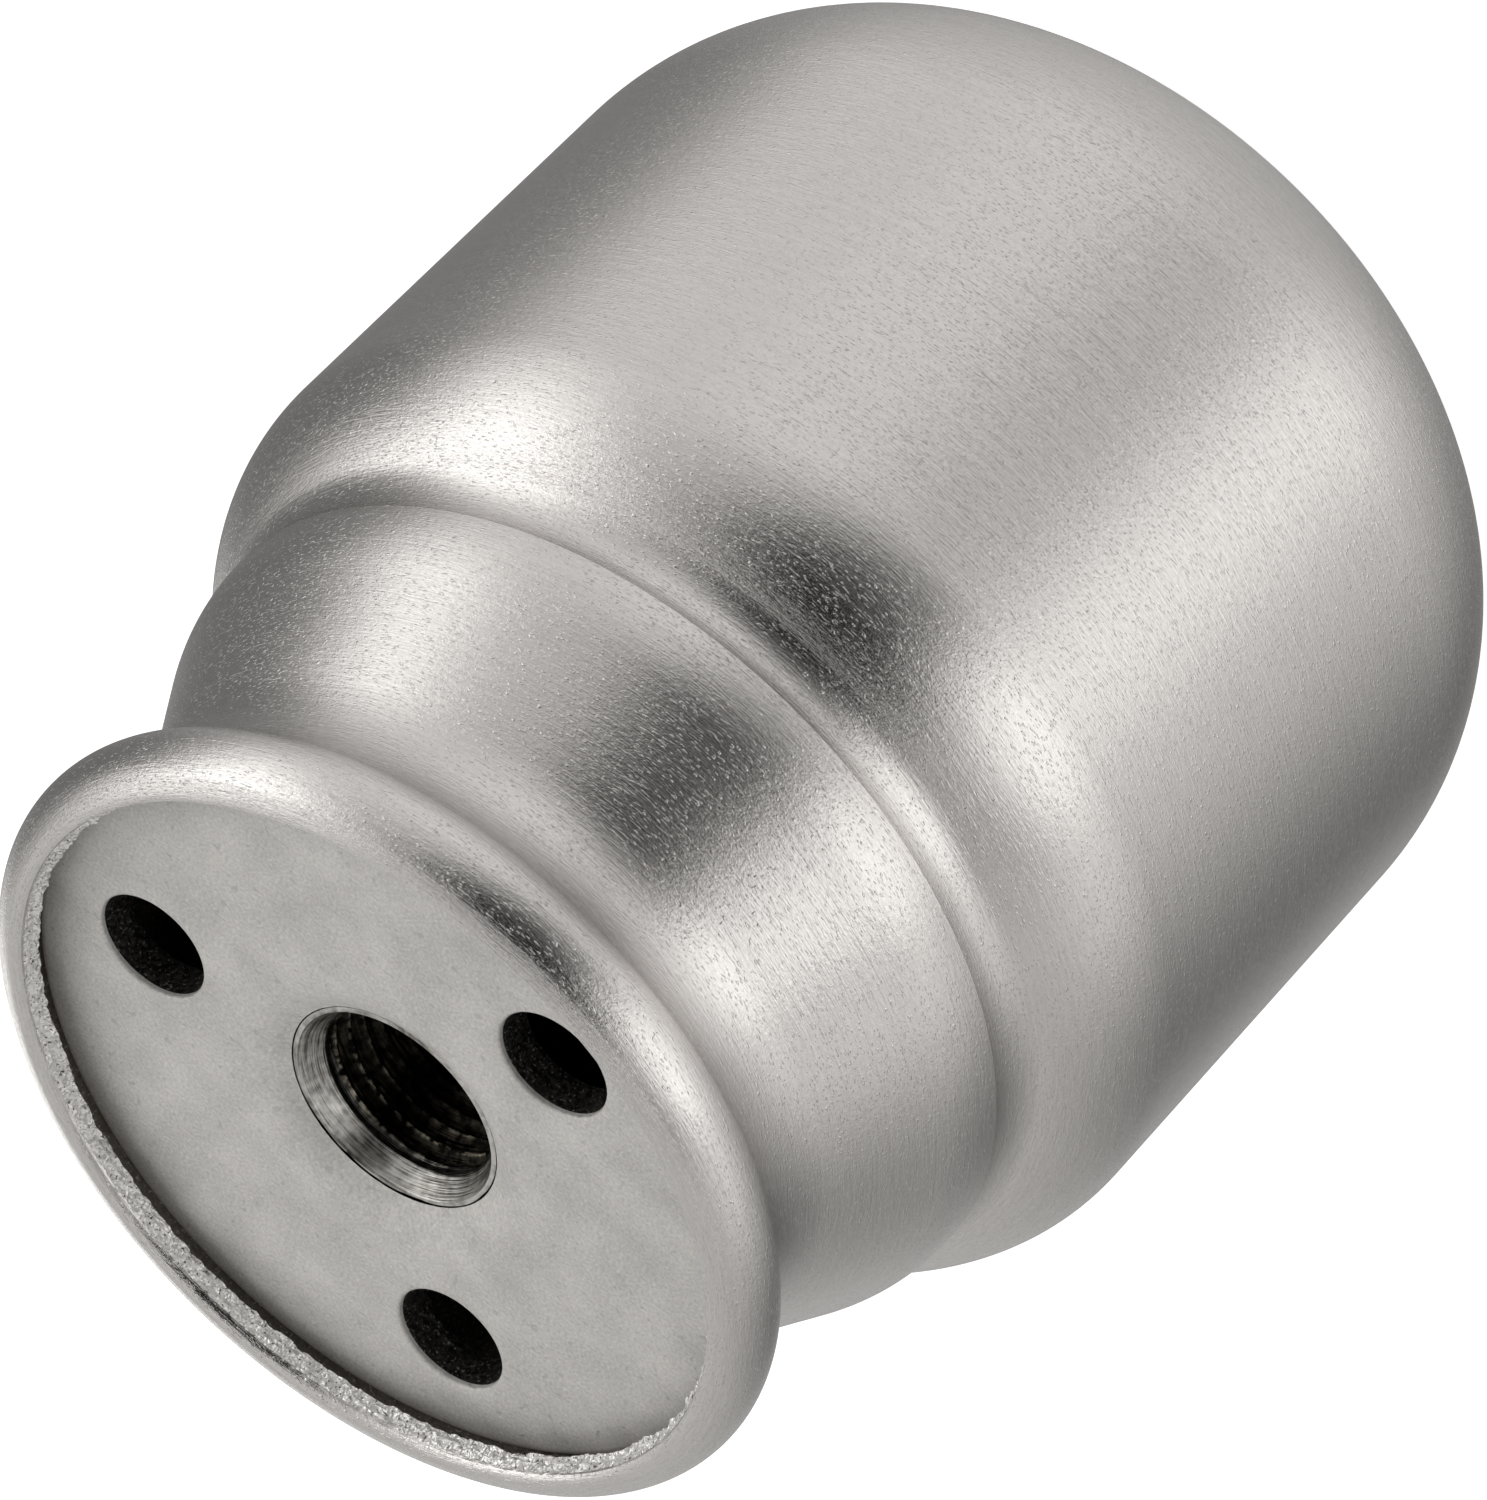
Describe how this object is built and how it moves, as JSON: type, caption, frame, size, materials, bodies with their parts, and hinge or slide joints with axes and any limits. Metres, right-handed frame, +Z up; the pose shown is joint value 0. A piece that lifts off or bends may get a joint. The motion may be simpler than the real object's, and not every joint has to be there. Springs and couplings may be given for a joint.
{
  "type": "furniture foot",
  "caption": "Hollow brushed steel furniture foot: wide round body, waisted neck, rolled rim and a recessed mounting plate with a threaded bush and screw holes.",
  "frame": {"origin": "centre of the flat underside, on the floor", "axes": "+Z up the foot's axis to the mounting end; +X over one of the screw holes"},
  "size_m": [0.05, 0.05, 0.0612],
  "materials": {
    "shell_steel": "satin, brushed around the axis",
    "plate_steel": "matt, pickled",
    "bush_steel": "turned, bright in the thread"
  },
  "bodies": {
    "root": {"shell": "shell_steel", "mounting_plate": "plate_steel", "threaded_bush": "bush_steel"}
  },
  "joints": []
}
